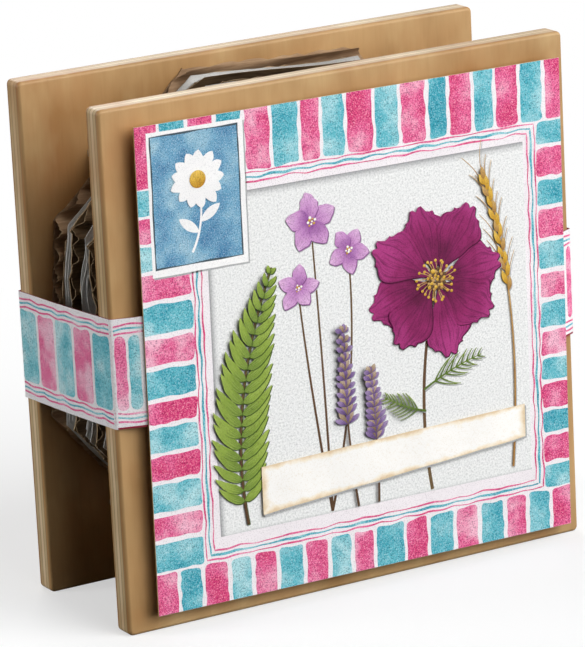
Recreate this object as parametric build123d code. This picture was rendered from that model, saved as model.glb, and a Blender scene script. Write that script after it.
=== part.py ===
from build123d import *
import math
import os

# A flower press: two plywood boards drawn together by four coach bolts with wing nuts,
# a stack of octagonal corrugated sheets and blotting paper between them,
# and a printed card on a paper band round the middle.
# X runs to the right along the front, Y from the front to the back, Z up.
# The origin is under the middle of the whole press, on the surface that it stands on.

# Boards
board_width = 180.0
board_height = 180.0
board_thickness = 9.0
board_corner_radius = 1.8
board_edge_ease = 1.2

# Coach bolts, with the head proud of the front board and its square neck let in
bolt_inset = 28.0
bolt_diameter = 6.0
bolt_length = 80.0
bolt_tail_chamfer = 0.8
head_diameter = 16.0
head_height = 3.4
head_rim = 0.8
neck_width = 6.3
neck_depth = 4.0
neck_clearance = 0.05
shank_clearance = 0.5

# Washers and wing nuts
washer_diameter = 18.0
washer_bore = 6.6
washer_thickness = 1.6
nut_clearance = 0.08
boss_height = 8.0
boss_base_diameter = 13.0
boss_top_diameter = 11.0
wing_span = 33.0
wing_height = 17.0
wing_thickness = 2.8
wing_end_radius = 4.6
wing_root_height = 6.0
wing_root_lift = 1.0
wing_ease = 0.6

# Octagonal sheets, cut to pass between the bolts
sheet_margin = 6.5
sheet_bolt_gap = 1.25
leaf_inset = 4.0
liner_thickness = 0.4
medium_thickness = 0.4
flute_height = 4.0
flute_pitch = 8.5
flute_glue_land = 0.3
flute_crest_radius = 1.2
leaf_thickness = 0.8
sheet_stagger = 0.4
sheet_turn_degrees = 1.2
leaf_stagger = 2.0
corrugated_count = 4
bundles_between = 2
leaves_per_bundle = 6

# Printed card and the band that carries it
card_width = 165.0
card_height = 167.0
card_thickness = 0.6
card_shift = 2.2
card_lift = 5.9
card_turn_degrees = 0.5
card_head_gap = 0.2
band_height = 37.6
band_lift = 72.6
band_drop = 3.9
band_thickness = 0.5
band_clearance = 0.2
band_tuck = 1.0

overrun = 1.0
golden_angle = math.pi * (3.0 - math.sqrt(5.0))

corrugated_thickness = flute_height + 2 * liner_thickness
bundle_thickness = leaves_per_bundle * leaf_thickness
bundle_count = (corrugated_count - 1) * bundles_between
board_gap = corrugated_count * corrugated_thickness + bundle_count * bundle_thickness

# Places along Y, from the front face of the front board
card_seat = head_height + card_head_gap
front_reach = card_seat + band_thickness + card_thickness
back_face = 2 * board_thickness + board_gap
nut_seat = back_face + washer_thickness
back_reach = max(nut_seat + wing_height, bolt_length)

# Places along Y in the shared frame
front_board_y = (front_reach - back_reach) / 2
stack_y = front_board_y + board_thickness
back_board_y = stack_y + board_gap
middle_height = board_height / 2

bolt_x = board_width / 2 - bolt_inset
bolt_rise = board_height / 2 - bolt_inset
sheet_width = board_width - 2 * sheet_margin
sheet_height = board_height - 2 * sheet_margin
sheet_corner_reach = bolt_x + bolt_rise - math.sqrt(2) * (bolt_diameter / 2 + sheet_bolt_gap)
bolt_places = {
    "top_left": (-bolt_x, middle_height + bolt_rise),
    "top_right": (bolt_x, middle_height + bolt_rise),
    "bottom_left": (-bolt_x, middle_height - bolt_rise),
    "bottom_right": (bolt_x, middle_height - bolt_rise),
}


def slab(face, start, thickness):
    """A face drawn on X and Z, made solid from start towards the back."""
    return Pos(0, start, 0) * extrude(Plane.XZ * face, amount=-thickness)


def rod(radius, start, length):
    """A round bar along Y."""
    return slab(Circle(radius), start, length)


def turned(points):
    """A solid of revolution about Y, from points of radius and place along Y."""
    return revolve(make_face(Polyline(*points, close=True)), Axis.Y)


def at_bolts(shape):
    """The same cutting shape at each of the four bolts."""
    return [Pos(x, 0, z) * shape for x, z in bolt_places.values()]


def board_blank():
    """A board with rounded corners and eased edges, front face at zero."""
    outline = RectangleRounded(board_width, board_height, board_corner_radius)
    blank = slab(Pos(0, middle_height) * outline, 0, board_thickness)
    loops = blank.edges().group_by(Axis.Y)
    return fillet(loops[0] + loops[-1], board_edge_ease)


def front_board():
    """The front board, drilled for the bolts, with square seats for their necks."""
    hole = rod(bolt_diameter / 2 + neck_clearance, -overrun, board_thickness + 2 * overrun)
    seat_width = neck_width + 2 * neck_clearance
    seat = slab(Rectangle(seat_width, seat_width), -overrun, neck_depth + overrun)
    return board_blank() - at_bolts(hole) - at_bolts(seat)


def back_board():
    """The back board, drilled so that it slides freely along the bolts."""
    hole = rod(bolt_diameter / 2 + shank_clearance, -overrun, board_thickness + 2 * overrun)
    return board_blank() - at_bolts(hole)


def coach_bolt():
    """A bolt with a domed head and a square neck, underside of the head at zero."""
    head_radius = head_diameter / 2
    crown = TangentArc((0, -head_height), (head_radius, -head_rim), tangent=(1, 0))
    rim = Polyline((head_radius, -head_rim), (head_radius, 0), (0, 0), (0, -head_height))
    head = revolve(make_face(crown.edges() + rim.edges()), Axis.Y)
    neck = slab(Rectangle(neck_width, neck_width), 0, neck_depth)
    shank = rod(bolt_diameter / 2, 0, bolt_length)
    shank = chamfer(shank.edges().group_by(Axis.Y)[-1], bolt_tail_chamfer)
    return head + neck + shank


def washer():
    """A plain washer, seated at zero."""
    return slab(Circle(washer_diameter / 2) - Circle(washer_bore / 2), 0, washer_thickness)


def nut_wing():
    """One wing: a rounded ear that spreads out from the boss."""
    end = Pos(wing_span / 2 - wing_end_radius, wing_height - wing_end_radius) * Circle(wing_end_radius)
    root_width = boss_top_diameter / 2 - bolt_diameter / 2
    root_middle = (boss_top_diameter + bolt_diameter) / 4
    root = Pos(root_middle, wing_root_lift + wing_root_height / 2) * Rectangle(root_width, wing_root_height)
    ear = extrude(make_hull((end + root).edges()), amount=wing_thickness / 2, both=True)
    rims = ear.edges().group_by(Axis.Z)
    return chamfer(rims[0] + rims[-1], wing_ease)


def wing_nut():
    """A wing nut with a tapered boss, seated at zero."""
    base = boss_base_diameter / 2
    top = boss_top_diameter / 2
    boss = turned([(0, 0), (base, 0), (top, boss_height), (0, boss_height)])
    wing = nut_wing()
    bore = rod(bolt_diameter / 2 + nut_clearance, -overrun, wing_height + 2 * overrun)
    return boss + wing + mirror(wing, about=Plane.YZ) - bore


def octagon(inset):
    """The outline of a sheet, set in by a margin: a rectangle with its corners cut clear of the bolts."""
    half_width = sheet_width / 2 - inset
    half_height = sheet_height / 2 - inset
    corner_reach = sheet_corner_reach - math.sqrt(2) * inset
    side = corner_reach - half_width
    top = corner_reach - half_height
    right = [(top, -half_height), (half_width, -side), (half_width, side), (top, half_height)]
    left = [(-top, half_height), (-half_width, side), (-half_width, -side), (-top, -half_height)]
    return make_face(Polyline(*right, *left, close=True))


def flute(liner_face, crest):
    """The open space of one flute, on Y and Z, from its liner to the crest of the medium."""
    half_base = (flute_pitch - flute_glue_land) / 2
    corners = Polyline((liner_face, -half_base), (crest, 0), (liner_face, half_base), close=True)
    space = make_face(corners)
    tip = space.vertices().sort_by(Axis.Y)[1]
    return fillet(tip, flute_crest_radius)


def corrugated_sheet():
    """Two liners with a fluted medium between them, flutes open at the left and right sides."""
    front_liner = liner_thickness
    back_liner = corrugated_thickness - liner_thickness
    front_flute = flute(front_liner, back_liner - medium_thickness)
    back_flute = flute(back_liner, front_liner + medium_thickness)
    half_count = math.ceil(sheet_height / flute_pitch / 2)
    steps = range(-half_count, half_count + 1)
    spaces = [Pos(0, step * flute_pitch) * front_flute for step in steps]
    spaces += [Pos(0, step * flute_pitch + flute_pitch / 2) * back_flute for step in steps]
    wall = Pos(corrugated_thickness / 2, 0) * Rectangle(corrugated_thickness, sheet_height)
    board = extrude(Plane.YZ * (wall - spaces), amount=sheet_width / 2, both=True)
    return board & slab(octagon(0), 0, corrugated_thickness)


def staggered(shape, index, reach, turn_degrees):
    """A sheet laid a little off centre and askew, as hand-stacked sheets lie."""
    angle = index * golden_angle
    place = Pos(reach * math.cos(angle), 0, middle_height + reach * math.sin(angle))
    return place * Rot(0, turn_degrees, 0) * shape


def blotting_bundle(number, turn_degrees):
    """A bundle of loose blotting leaves, front leaf first."""
    leaves = []
    for layer in range(leaves_per_bundle):
        leaf = slab(octagon(leaf_inset), layer * leaf_thickness, leaf_thickness)
        leaves.append(staggered(leaf, number * leaves_per_bundle + layer, leaf_stagger, turn_degrees))
    return leaves


def stack():
    """Corrugated sheets with bundles of blotting paper between them, further askew towards the back."""
    nodes = {}
    y = stack_y
    bundle_number = 0
    sheet = corrugated_sheet()
    for number in range(1, corrugated_count + 1):
        turn_degrees = number * sheet_turn_degrees
        laid_sheet = staggered(sheet, number, sheet_stagger, turn_degrees)
        nodes[f"corrugated_sheet_{number}"] = Pos(0, y, 0) * laid_sheet
        y += corrugated_thickness
        if number == corrugated_count:
            break
        for _ in range(bundles_between):
            bundle_number += 1
            turn_degrees += sheet_turn_degrees / (bundles_between + 1)
            leaves = [Pos(0, y, 0) * leaf for leaf in blotting_bundle(bundle_number, turn_degrees)]
            nodes[f"blotting_paper_{bundle_number}"] = Compound(children=leaves)
            y += bundle_thickness
    return nodes


def band_outline():
    """The inside of the band seen from above: close round the boards, and out to the card in front."""
    side = board_width / 2 + band_clearance
    back = back_face + band_clearance
    left = card_shift - card_width / 2 + band_tuck
    right = card_shift + card_width / 2 - band_tuck
    front = [(-side, -band_clearance), (left, -card_seat), (right, -card_seat), (side, -band_clearance)]
    return make_face(Polyline(*front, (side, back), (-side, back), close=True))


def belly_band():
    """A paper band folded round both boards, lower at the back than at the front."""
    inside = band_outline()
    ring = offset(inside, band_thickness, kind=Kind.INTERSECTION) - inside
    tube = extrude(Pos(0, 0, band_lift - band_drop) * ring, amount=band_height + band_drop)
    lower_edge = [
        (-front_reach, band_lift),
        (0, band_lift),
        (back_face, band_lift - band_drop),
        (back_face + front_reach, band_lift - band_drop),
    ]
    upper_edge = [(y, z + band_height) for y, z in reversed(lower_edge)]
    side_view = Plane.YZ * make_face(Polyline(*lower_edge, *upper_edge, close=True))
    return tube & extrude(side_view, amount=board_width, both=True)


def front_card():
    """The card glued to the front of the band, clear of the bolt heads, a touch to the right and askew."""
    card = slab(Rectangle(card_width, card_height), -front_reach, card_thickness)
    return Pos(card_shift, 0, card_lift + card_height / 2) * Rot(0, card_turn_degrees, 0) * card


def assembly():
    """Every piece by its node's name, in its place."""
    nodes = {
        "front_board": Pos(0, front_board_y, 0) * front_board(),
        "back_board": Pos(0, back_board_y, 0) * back_board(),
        "belly_band": Pos(0, front_board_y, 0) * belly_band(),
        "front_card": Pos(0, front_board_y, 0) * front_card(),
    }
    nodes.update(stack())
    bolt = coach_bolt()
    ring = washer()
    nut = wing_nut()
    for number, (place, (x, z)) in enumerate(bolt_places.items(), start=1):
        nodes[f"coach_bolt_{place}"] = Pos(x, front_board_y, z) * bolt
        nodes[f"washer_{place}"] = Pos(x, front_board_y + back_face, z) * ring
        turned_nut = Rot(0, math.degrees(number * golden_angle), 0) * nut
        nodes[f"wing_nut_{place}"] = Pos(x, front_board_y + nut_seat, z) * turned_nut
    return nodes


os.makedirs("parts", exist_ok=True)
for name, shape in assembly().items():
    export_step(shape, f"parts/{name}.step")
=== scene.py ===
from math import atan2, cos, log, pi, radians, sin, sqrt, tan, tau
from random import Random

import bmesh
import bpy
import numpy as np
from mathutils import Matrix, Vector


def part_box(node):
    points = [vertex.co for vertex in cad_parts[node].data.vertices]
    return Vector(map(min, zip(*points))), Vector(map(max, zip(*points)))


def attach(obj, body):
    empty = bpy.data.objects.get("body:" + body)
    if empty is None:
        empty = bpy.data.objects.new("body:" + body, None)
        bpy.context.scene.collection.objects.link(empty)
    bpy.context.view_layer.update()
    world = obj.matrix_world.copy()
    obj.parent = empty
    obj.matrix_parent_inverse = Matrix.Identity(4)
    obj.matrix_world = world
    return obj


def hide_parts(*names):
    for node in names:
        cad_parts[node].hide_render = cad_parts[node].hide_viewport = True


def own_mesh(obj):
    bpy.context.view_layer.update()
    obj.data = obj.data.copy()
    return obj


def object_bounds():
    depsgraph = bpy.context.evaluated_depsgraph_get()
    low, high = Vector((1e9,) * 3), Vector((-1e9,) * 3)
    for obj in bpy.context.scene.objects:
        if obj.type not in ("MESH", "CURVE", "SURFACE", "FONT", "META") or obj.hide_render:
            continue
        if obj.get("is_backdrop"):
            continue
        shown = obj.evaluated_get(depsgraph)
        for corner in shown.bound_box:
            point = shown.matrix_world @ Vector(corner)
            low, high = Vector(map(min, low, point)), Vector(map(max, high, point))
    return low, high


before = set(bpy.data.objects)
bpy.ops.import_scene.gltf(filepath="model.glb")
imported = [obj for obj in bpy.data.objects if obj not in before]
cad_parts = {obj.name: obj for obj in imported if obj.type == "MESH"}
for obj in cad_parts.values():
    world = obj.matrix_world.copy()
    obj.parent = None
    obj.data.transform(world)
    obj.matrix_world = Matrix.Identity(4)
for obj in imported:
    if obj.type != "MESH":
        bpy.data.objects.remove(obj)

cad_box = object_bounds()

# Lengths are in millimetres, and the mesh builder turns them into metres.
MM = 0.001
GOLDEN_ANGLE = pi * (3.0 - sqrt(5.0))
PLACES = ("top_left", "top_right", "bottom_left", "bottom_right")


def span(node):
    """A node's lowest and highest corner, in millimetres."""
    low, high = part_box(node)
    return np.array(low) / MM, np.array(high) / MM


front_low, front_high = span("front_board")
back_low, back_high = span("back_board")
card_low, card_high = span("front_card")
band_low, band_high = span("belly_band")
washer_low, washer_high = span("washer_top_right")
stack_front = front_high[1]
gap_width = back_low[1] - stack_front
middle_height = (front_low[2] + front_high[2]) / 2


# Mesh builder

sharp_angle = radians(40)


def add_object(name, data):
    """A new object in the scene."""
    made = bpy.data.objects.new(name, data)
    bpy.context.scene.collection.objects.link(made)
    return made


class Builder:
    """Collects closed shells into one mesh, with UVs over each grid and a tone for each shell."""

    def __init__(self):
        self.points = []
        self.faces = []
        self.face_slots = []
        self.uvs = []
        self.tones = []

    def add_points(self, grid, tone):
        """Stores a grid of points and returns their numbers in the same grid."""
        rows, cols = grid.shape[:2]
        first = len(self.points)
        self.points.extend(grid.reshape(-1, 3).tolist())
        self.uvs.extend((c / (cols - 1), r / (rows - 1)) for r in range(rows) for c in range(cols))
        self.tones.extend([tone] * (rows * cols))
        return first + np.arange(rows * cols).reshape(rows, cols)

    def sheet(self, ids, slot=0):
        """Quads over a grid of point numbers."""
        corners = [ids[:-1, :-1], ids[:-1, 1:], ids[1:, 1:], ids[1:, :-1]]
        quads = np.stack(corners, axis=-1).reshape(-1, 4)
        self.faces.extend(quads.tolist())
        self.face_slots.extend([slot] * len(quads))

    def shell(self, front, back, tone=0.5, loop=False, slots=(0, 0, 0)):
        """A closed shell between two grids, with slots for front, back and rim; a loop joins its end rows."""
        front_ids = self.add_points(front, tone)
        back_ids = self.add_points(back, tone)
        if loop:
            front_ids = np.vstack([front_ids, front_ids[:1]])
            back_ids = np.vstack([back_ids, back_ids[:1]])
        self.sheet(front_ids, slots[0])
        self.sheet(back_ids, slots[1])
        rims = [np.s_[:, 0], np.s_[:, -1]] + ([] if loop else [np.s_[0], np.s_[-1]])
        for rim in rims:
            self.sheet(np.stack([front_ids[rim], back_ids[rim]]), slots[2])

    def bar(self, rings):
        """A closed bar through rings of points, capped at both ends."""
        ids = self.add_points(rings, 0.5)
        self.sheet(np.hstack([ids, ids[:, :1]]))
        self.faces += [ids[0].tolist(), ids[-1].tolist()]
        self.face_slots += [0, 0]

    def piece(self, name, body, slot_name, materials, replaces=()):
        """Makes the mesh object and rides it on its body; the slot name is not used."""
        mesh = bpy.data.meshes.new(name)
        mesh.from_pydata((np.array(self.points) * MM).tolist(), [], self.faces)
        for material in materials:
            mesh.materials.append(material)
        mesh.polygons.foreach_set("material_index", self.face_slots)
        corners = np.empty(len(mesh.loops), dtype=np.int32)
        mesh.loops.foreach_get("vertex_index", corners)
        layer = mesh.uv_layers.new(name="grid")
        layer.data.foreach_set("uv", np.array(self.uvs, dtype=np.float32)[corners].ravel())
        tone = mesh.attributes.new("tone", "FLOAT", "POINT")
        tone.data.foreach_set("value", np.array(self.tones, dtype=np.float32))
        face_outward(mesh)
        mesh.shade_smooth()
        mesh.set_sharp_from_angle(angle=sharp_angle)
        piece = add_object(name, mesh)
        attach(piece, body)
        if replaces:
            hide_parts(*replaces)
        return piece


def face_outward(mesh):
    """Turns every face of a mesh of closed shells outward."""
    shells = bmesh.new()
    shells.from_mesh(mesh)
    bmesh.ops.recalc_face_normals(shells, faces=shells.faces)
    shells.to_mesh(mesh)
    shells.free()


def wobble(maker, size, period, value):
    """A smooth seeded wander along a value, as a hand-drawn edge has."""
    total = 0.0
    for _ in range(3):
        rate = tau / (period * maker.uniform(0.5, 1.8))
        total = total + maker.uniform(0.4, 1.0) * size * np.sin(value * rate + maker.uniform(0, tau))
    return total


# Materials, with colours written as display values from 0 to 255

BLACK = (0, 0, 0)
WHITE = (255, 255, 255)


def linear(colour):
    """A display colour as Blender's linear colour; a node's output stays as it is."""
    if isinstance(colour, bpy.types.NodeSocket):
        return colour
    shares = [value / 255 for value in colour]
    return tuple(s / 12.92 if s <= 0.04045 else ((s + 0.055) / 1.055) ** 2.4 for s in shares) + (1.0,)


class Nodes:
    """Short calls that add shader nodes to a tree."""

    def __init__(self, tree):
        self.tree = tree

    def feed(self, socket, value):
        """Links an output to a socket, or sets the socket to a constant."""
        if isinstance(value, bpy.types.NodeSocket):
            self.tree.links.new(value, socket)
        else:
            socket.default_value = value

    def node(self, kind, inputs=(), out=0, **settings):
        """Adds a node, fills its inputs by name or by order, and returns one of its outputs."""
        node = self.tree.nodes.new("ShaderNode" + kind)
        for key, value in settings.items():
            setattr(node, key, value)
        for key, value in inputs.items() if isinstance(inputs, dict) else enumerate(inputs):
            self.feed(node.inputs[key], value)
        return node.outputs[out]

    def axis(self, name, source="Object"):
        """One coordinate of the surface, or of its normal."""
        return self.node("SeparateXYZ", [self.node("TexCoord", out=source)], out=name)

    def tone(self):
        """The tone of each shell of a mesh."""
        return self.node("Attribute", out="Fac", attribute_name="tone")

    def noise(self, scale, detail=3.0, rough=0.5, source="Object"):
        """Noise over the surface, at one scale or at one for each axis."""
        stretch = scale if isinstance(scale, tuple) else (scale,) * 3
        place = self.node("Mapping", {"Vector": self.node("TexCoord", out=source), "Scale": stretch})
        return self.node("TexNoise", {"Vector": place, "Scale": 1.0, "Detail": detail, "Roughness": rough})

    def math(self, operation, *values):
        return self.node("Math", values, operation=operation)

    def fit(self, value, low, high, new_low=0.0, new_high=1.0):
        """A value carried from one range to another, clamped."""
        return self.node("MapRange", [value, low, high, new_low, new_high])

    def sway(self, value, by, size, low=0.3, high=0.7):
        """A value moved up and down by another one's range."""
        return self.math("ADD", value, self.fit(by, low, high, -size, size))

    def ramp(self, value, stops):
        """Colours along a value, from pairs of place and colour."""
        output = self.node("ValToRGB", [value])
        elements = output.node.color_ramp.elements
        while len(elements) < len(stops):
            elements.new(1.0)
        for element, (at, colour) in zip(elements, stops):
            element.position = at
            element.color = linear(colour)
        return output

    def mix(self, share, first, second, blend="MIX"):
        settings = {"data_type": "RGBA", "blend_type": blend}
        return self.node("Mix", {0: share, 6: linear(first), 7: linear(second)}, out=2, **settings)

    def shade(self, colour, value, stops, share=1.0):
        """A colour multiplied by the colours along a value."""
        return self.mix(share, colour, self.ramp(value, stops), "MULTIPLY")


class Look(Nodes):
    """A new material with one Principled shader."""

    def __init__(self, name, roughness=0.7, gloss=0.2, metallic=0.0):
        self.material = bpy.data.materials.new(name)
        self.material.use_nodes = True
        super().__init__(self.material.node_tree)
        self.shader = self.tree.nodes["Principled BSDF"]
        self.set("Roughness", roughness)
        self.set("Specular IOR Level", gloss)
        self.set("Metallic", metallic)

    def set(self, socket, value):
        self.feed(self.shader.inputs[socket], value)

    def bump(self, height, strength, distance):
        inputs = {"Height": height, "Strength": strength, "Distance": distance * MM}
        self.set("Normal", self.node("Bump", inputs))

    def done(self, colour):
        """The finished material, in a colour."""
        self.set("Base Color", colour)
        return self.material


def pale_edge_wear_and_highlight(look, low, high, noise):
    """How pale a board's face grows towards its edges, partly wear and partly a painted highlight on the
    eased edges: rising unevenly over the last tenth.
    """
    reaches = []
    for axis, at in (("X", 0), ("Z", 2)):
        place = look.fit(look.axis(axis), low[at] * MM, high[at] * MM, -1.0, 1.0)
        reaches.append(look.math("ABSOLUTE", place))
    reach = look.sway(look.math("MAXIMUM", *reaches), noise, 0.07)
    face = look.fit(look.math("ABSOLUTE", look.axis("Y", "Normal")), 0.3, 0.9)
    return look.math("MULTIPLY", look.fit(reach, 0.86, 1.02, 0.0, 0.5), face)


def plywood(name, low, high):
    """Plies with glue lines through the thickness, blotches, a faint grain, and edges paler from wear and
    from a painted highlight.
    """
    look = Look(name, roughness=0.45, gloss=0.25)
    depth = look.fit(look.axis("Y"), low[1] * MM, high[1] * MM)
    depth = look.sway(depth, look.noise(45.0, 2.0), 0.014)
    face = (186, 146, 98)
    glue = (116, 88, 58)
    dark = (212, 190, 152)
    half = [(0.0, face), (0.16, face), (0.18, glue), (0.2, dark), (0.365, dark), (0.385, glue)]
    half.append((0.41, (236, 216, 182)))
    plies = half + [(1.0 - at, colour) for at, colour in reversed(half)]
    blotch = look.noise((26, 26, 15), rough=0.55)
    colour = look.shade(look.ramp(depth, plies), blotch, [(0.3, (206, 192, 168)), (0.66, WHITE)])
    warm = look.noise((36, 36, 26), rough=0.6)
    colour = look.mix(look.fit(warm, 0.46, 0.7, 0.0, 0.55), colour, (178, 124, 76))
    bleach = look.noise((58, 58, 22), rough=0.6)
    colour = look.mix(look.fit(bleach, 0.54, 0.76, 0.0, 0.5), colour, (202, 172, 124))
    # Paler towards the face's edges: partly wear, partly a painted highlight along the eased edges.
    colour = look.mix(pale_edge_wear_and_highlight(look, low, high, bleach), colour, (200, 170, 123))
    grain = look.noise((75, 75, 22), 4.0, 0.6)
    colour = look.shade(colour, grain, [(0.34, (216, 204, 186)), (0.62, WHITE)], 0.3)
    fibre = look.noise((1100, 1100, 60), rough=0.6)
    look.bump(fibre, 0.2, 0.05)
    return look.done(look.shade(colour, fibre, [(0.34, (200, 186, 170)), (0.5, WHITE)], 0.08))


def speckled(look, colour, speck, amount):
    """A paper colour with a fine speckle and a slow cloudiness."""
    grain = look.noise(2600.0, 2.0, 0.7)
    dust = look.mix(look.ramp(grain, [(0.35, WHITE), (0.46, BLACK)]), colour, speck)
    look.bump(grain, 0.15, 0.03)
    cloudy = look.shade(dust, look.noise(60.0), [(0.3, (238, 238, 239)), (0.7, WHITE)])
    return look.mix(amount, colour, cloudy)


def paper(name, colour, speck, amount=0.5):
    """Matt paper with a fine speckle."""
    look = Look(name, roughness=0.75)
    return look.done(speckled(look, colour, speck, amount))


def blotting_look():
    """Soft white paper, grey along its rim as painted shade that sets the leaves apart."""
    look = Look("blotting_fibre", roughness=0.75)
    white = speckled(look, (222, 221, 218), (178, 176, 172), 0.5)
    # Grey along the rim and cut edge of each leaf: painted shade.
    edge = look.fit(look.axis("X", "UV"), 0.97, 1.0, 0.0, 0.3)
    return look.done(look.mix(edge, white, (112, 108, 98)))


def card_stock():
    """White printed card with a tan cut edge."""
    look = Look("card_stock", roughness=0.75)
    white = speckled(look, (246, 240, 243), (132, 120, 128), 0.45)
    level = look.math("ABSOLUTE", look.axis("Y", "Normal"))
    return look.done(look.mix(look.fit(level, 0.4, 0.6), (196, 164, 108), white))


def panel_look():
    """Grey speckled paper, shaded along its upper and left edges as if it were let in."""
    look = Look("panel_paper", roughness=0.8)
    grain = look.noise(1500.0, 2.0, 0.75)
    grey = look.ramp(grain, [(0.3, (198, 199, 199)), (0.5, (231, 232, 231)), (0.68, (248, 248, 247))])
    look.bump(grain, 0.25, 0.04)
    left = look.fit(look.axis("X", "UV"), 0.0, 0.02)
    up = look.axis("Y", "UV")
    top = look.fit(up, 0.974, 1.0, 1.0, 0.0)
    low = look.fit(up, 0.0, 0.008, 0.5, 1.0)
    inside = look.math("MULTIPLY", look.math("MULTIPLY", left, top), low)
    stops = [(0.0, (164, 164, 166)), (0.5, (228, 228, 229)), (1.0, WHITE)]
    return look.done(look.shade(grey, inside, stops))


def strip_look():
    """Old cream paper, browned along its edges."""
    look = Look("cream_strip", roughness=0.8)
    cream = speckled(look, (252, 250, 246), (224, 212, 192), 0.4)
    reaches = []
    for axis, margin in (("X", 0.03), ("Y", 0.16)):
        place = look.axis(axis, "UV")
        far = look.fit(place, 1.0 - margin, 1.0, 1.0, 0.0)
        reaches.append(look.math("MINIMUM", look.fit(place, 0.0, margin), far))
    edge = look.sway(look.math("MINIMUM", *reaches), look.noise(190.0), 0.35)
    return look.done(look.shade(cream, edge, [(0.0, (232, 210, 176)), (0.4, (250, 240, 222)), (0.8, WHITE)]))


def ink(name, dense, mid, pale):
    """Watercolour print: pools of ink that differ from stroke to stroke, with paper grain."""
    look = Look(name)
    pool = look.fit(look.noise(95.0, rough=0.55), 0.28, 0.72)
    depth = look.sway(pool, look.tone(), 0.18, 0.0, 1.0)
    grain = look.noise(2300.0, 2.0, 0.75)
    light = look.ramp(grain, [(0.52, BLACK), (0.7, (176, 176, 176))])
    colour = look.ramp(depth, [(0.12, dense), (0.5, mid), (0.95, pale)])
    colour = look.shade(colour, grain, [(0.34, (160, 148, 156)), (0.46, WHITE)])
    return look.done(look.mix(light, colour, (250, 244, 246)))


def petal_look(name, base, middle, tip, vein):
    """A pressed petal: one colour at its base and another at its tip, with fine veins along it."""
    look = Look(name, roughness=0.65)
    along = look.sway(look.axis("Y", "UV"), look.noise(160.0), 0.16)
    along = look.sway(along, look.tone(), 0.14, 0.0, 1.0)
    colour = look.ramp(along, [(0.05, base), (0.5, middle), (1.0, tip)])
    lines = look.noise((22.0, 1.6, 1.0), 4.0, 0.6, "UV")
    colour = look.mix(look.ramp(lines, [(0.38, (206, 206, 206)), (0.52, BLACK)]), colour, vein)
    grain = look.noise(2100.0, 2.0, 0.7)
    return look.done(look.shade(colour, grain, [(0.34, (196, 186, 190)), (0.48, WHITE)], 0.7))


def kraft(name, dark, pale):
    """Brown corrugated card with fibres along the flutes."""
    look = Look(name, roughness=0.85)
    fibre = look.noise((90, 700, 900), 4.0, 0.6)
    look.bump(fibre, 0.3, 0.08)
    brown = look.ramp(fibre, [(0.3, dark), (0.7, pale)])
    return look.done(look.shade(brown, look.noise(45.0), [(0.3, (205, 200, 196)), (0.7, WHITE)]))


def zinc():
    """Bright zinc plate, a little cloudy, with fine scratches."""
    look = Look("zinc_plate", metallic=1.0)
    scratch = look.noise((2400, 300, 2400))
    look.set("Roughness", look.fit(scratch, 0.3, 0.7, 0.24, 0.42))
    look.bump(scratch, 0.12, 0.02)
    cloud = look.noise(260.0, 4.0, 0.6)
    return look.done(look.ramp(cloud, [(0.3, (176, 178, 180)), (0.7, (214, 214, 210))]))


band_paper = paper("band_paper", (242, 238, 240), (150, 140, 146))
red_paper = paper("red_paper", (142, 36, 58), (100, 20, 38))
blotting = blotting_look()
# One kraft in two copies: a darker one on the front sheets as painted shade deep between the boards, a paler
# one on the rear sheet as painted light where its top shows.
painted_shade_kraft = kraft("painted_shade_kraft", (90, 72, 52), (134, 112, 84))
lit_kraft = kraft("painted_lit_kraft", (158, 128, 98), (202, 170, 136))
kraft_cut = kraft("kraft_cut_edge", (150, 124, 94), (196, 172, 138))
zinc_plate = zinc()


def dress(names, material):
    """Gives CAD nodes that stay in view a finished material."""
    for name in names:
        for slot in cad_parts[name].material_slots:
            slot.material = material


dress(["front_board"], plywood("front_plywood", front_low, front_high))
dress(["back_board"], plywood("back_plywood", back_low, back_high))
dress(["front_card"], card_stock())
dress([f"{kind}_{place}" for kind in ("washer", "wing_nut") for place in PLACES], zinc_plate)


# Stack of corrugated sheets and blotting leaves

corrugated_count = 4
bundles_between = 2
leaves_per_bundle = 6
sheet_margin = 6.5
half_width = (front_high[0] - front_low[0]) / 2 - sheet_margin
half_height = (front_high[2] - front_low[2]) / 2 - sheet_margin
bolt_x = (washer_low[0] + washer_high[0]) / 2
bolt_rise = (washer_low[2] + washer_high[2]) / 2 - middle_height
bolt_radius = 3.0
sheet_bolt_gap = 1.25
corner_reach = bolt_x + bolt_rise - sqrt(2) * (bolt_radius + sheet_bolt_gap)
sheet_turn = radians(1.2)
level_start = 0.84
level_share = 0.6
leaf_thickness = 0.28
leaf_inset = 3.2
leaf_trim = 1.8
leaf_ragged = 0.15
leaf_stagger = 2.0
leaf_slip = (-0.4, -0.6)
corrugated_thickness = 4.0
flare_height = 3.6
flare_start = 0.62
flare_mean = 0.4
flare_swing = 0.5
fall_back = 0.8
parting_start = 0.45
parting_least = 0.25
parting_growth = 2.1
liner_thickness = 0.55
liner_ragged = 1.0
liner_inset = 2.0
liner_corner_cut = 4.0
back_liner_inset = 0.3
back_liner_top_cut = 1.7
medium_thickness = 0.3
medium_gap = 0.05
medium_inset = 0.4
medium_ragged = 0.7
flute_pitch = 8.5
flute_stiffness = 0.25
face_and_cut = (0, 0, 1)


def stacking_order():
    """The node of every layer from front to back, one for each leaf, and how far each node is askew."""
    order = []
    turns = {}
    bundle = 0
    for number in range(1, corrugated_count + 1):
        name = f"corrugated_sheet_{number}"
        order.append(name)
        turns[name] = number * sheet_turn
        for step in range(bundles_between if number < corrugated_count else 0):
            bundle += 1
            name = f"blotting_paper_{bundle}"
            order += [name] * leaves_per_bundle
            turns[name] = (number + (step + 1) / (bundles_between + 1)) * sheet_turn
    return order, turns


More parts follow.
